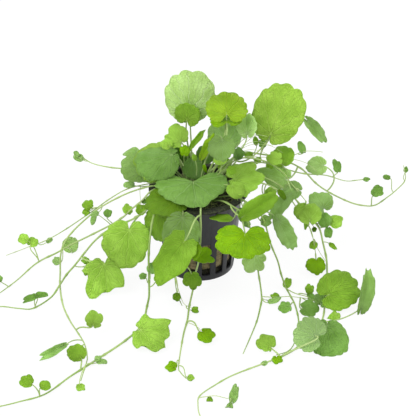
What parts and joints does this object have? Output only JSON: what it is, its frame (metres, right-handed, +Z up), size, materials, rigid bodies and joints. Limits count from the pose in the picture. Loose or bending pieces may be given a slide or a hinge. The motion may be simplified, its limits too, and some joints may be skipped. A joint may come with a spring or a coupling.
{
  "type": "potted trailing plant",
  "caption": "Trailing round-leaved plant in a small black net pot, with thin stems that spill over the rim and lie along the surface.",
  "frame": {"origin": "middle of the pot's underside, on the surface that the pot stands on", "axes": "+Z up along the pot's axis; the front, with the most stems, is -Y; +X is to the right seen from the front"},
  "size_m": [0.2354, 0.2392, 0.1012],
  "materials": {
    "black_plastic": "satin black moulding",
    "mineral_wool": "matted brown fibre",
    "matted_roots": "dark matted shoots and roots",
    "pale_stem": "smooth pale green stem",
    "green_leaf": "soft satin green leaf"
  },
  "bodies": {
    "root": {"leaf_back": "green_leaf", "leaf_crinkled": "green_leaf", "leaf_far_right": "green_leaf", "leaf_floor_bright": "green_leaf", "leaf_floor_dark": "green_leaf", "leaf_floor_large": "green_leaf", "leaf_floor_left": "green_leaf", "leaf_floor_pale": "green_leaf", "leaf_floor_upright": "green_leaf", "leaf_folded": "green_leaf", "leaf_front_left": "green_leaf", "leaf_front_small": "green_leaf", "leaf_hanging_front": "green_leaf", "leaf_hanging_left": "green_leaf", "leaf_hanging_pale": "green_leaf", "leaf_heart_left": "green_leaf", "leaf_kidney_right": "green_leaf", "leaf_left_small": "green_leaf", "leaf_lobed": "green_leaf", "leaf_middle_high": "green_leaf", "leaf_middle_low": "green_leaf", "leaf_pot_foot": "green_leaf", "leaf_right_drooping": "green_leaf", "leaf_right_hanging": "green_leaf", "leaf_right_lower": "green_leaf", "leaf_right_pointed": "green_leaf", "leaf_right_round": "green_leaf", "leaf_right_upper": "green_leaf", "leaf_rim_far_left": "green_leaf", "leaf_rim_front": "green_leaf", "leaf_rim_right": "green_leaf", "leaf_slanting": "green_leaf", "leaf_top_far_left": "green_leaf", "leaf_top_far_right": "green_leaf", "leaf_top_left": "green_leaf", "leaf_top_middle": "green_leaf", "leaf_top_right": "green_leaf", "leaf_under_kidney": "green_leaf", "leaf_under_left": "green_leaf", "mineral_wool_plug": "mineral_wool", "net_pot": "black_plastic", "root_crown": "matted_roots", "stem_back": "pale_stem", "stem_back_short": "pale_stem", "stem_front": "pale_stem", "stem_front_left": "pale_stem", "stem_front_right": "pale_stem", "stem_front_short": "pale_stem", "stem_left_high": "pale_stem", "stem_left_long": "pale_stem", "stem_left_low": "pale_stem", "stem_left_middle": "pale_stem", "stem_left_thin": "pale_stem", "stem_right_back": "pale_stem", "stem_right_high": "pale_stem", "stem_right_long": "pale_stem", "stem_right_low": "pale_stem", "stem_right_short": "pale_stem", "stem_right_thin": "pale_stem"}
  },
  "joints": []
}
